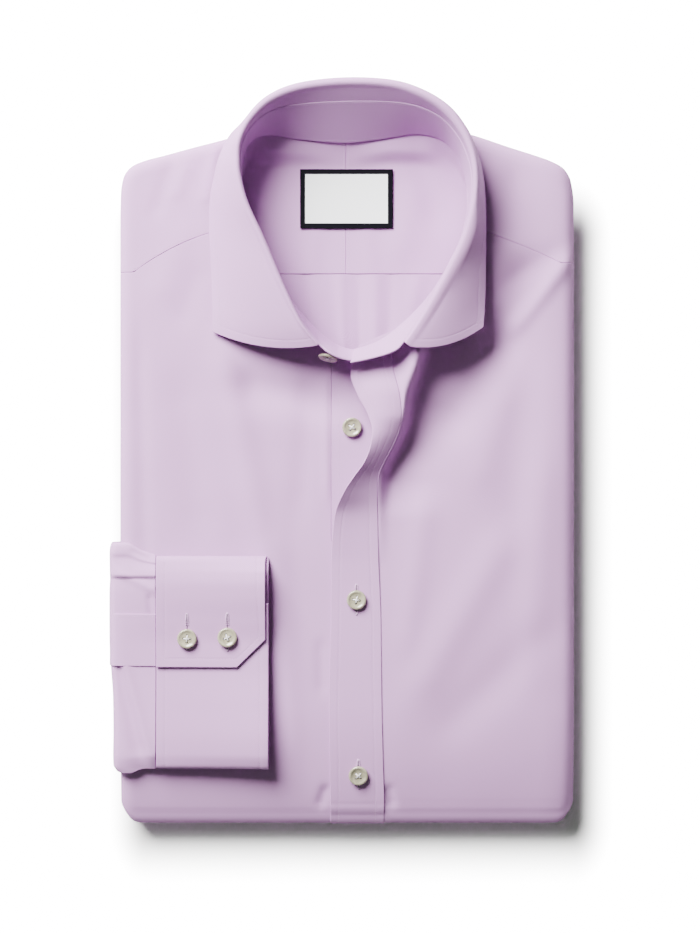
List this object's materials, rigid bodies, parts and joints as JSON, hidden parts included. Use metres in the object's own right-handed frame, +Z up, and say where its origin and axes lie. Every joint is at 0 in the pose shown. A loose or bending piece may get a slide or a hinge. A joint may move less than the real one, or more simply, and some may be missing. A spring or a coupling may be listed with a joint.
{
  "type": "folded long sleeve dress shirt",
  "caption": "Lilac cotton dress shirt, folded flat for the shelf with its front up, cutaway collar open at the neck and one buttoned cuff laid on the front.",
  "frame": {"origin": "centre of the folded shirt's outline, on the surface it lies on", "axes": "+Y from the bottom fold to the collar, +X to the right as seen from above with the collar at the top, +Z up"},
  "size_m": [0.2697, 0.4289, 0.06],
  "materials": {
    "shirt_cloth": "fine lilac cotton twill, smooth with a soft sheen",
    "label": "woven satin label, pale field with a dark border, bare",
    "button": "pearly polyester shirt button, glossy"
  },
  "bodies": {
    "root": {"folded_layers": "shirt_cloth", "front_left": "shirt_cloth", "button_band": "shirt_cloth", "front_right": "shirt_cloth", "placket": "shirt_cloth", "yoke_left": "shirt_cloth", "yoke_right": "shirt_cloth", "yoke_inner_left": "shirt_cloth", "yoke_inner_right": "shirt_cloth", "back_inner": "shirt_cloth", "collar_stand": "shirt_cloth", "collar_leaf": "shirt_cloth", "sleeve": "shirt_cloth", "sleeve_placket": "shirt_cloth", "cuff": "shirt_cloth", "neck_label": "label", "collar_button": "button", "front_button_1": "button", "front_button_2": "button", "front_button_3": "button", "cuff_button_1": "button", "cuff_button_2": "button"}
  },
  "joints": []
}
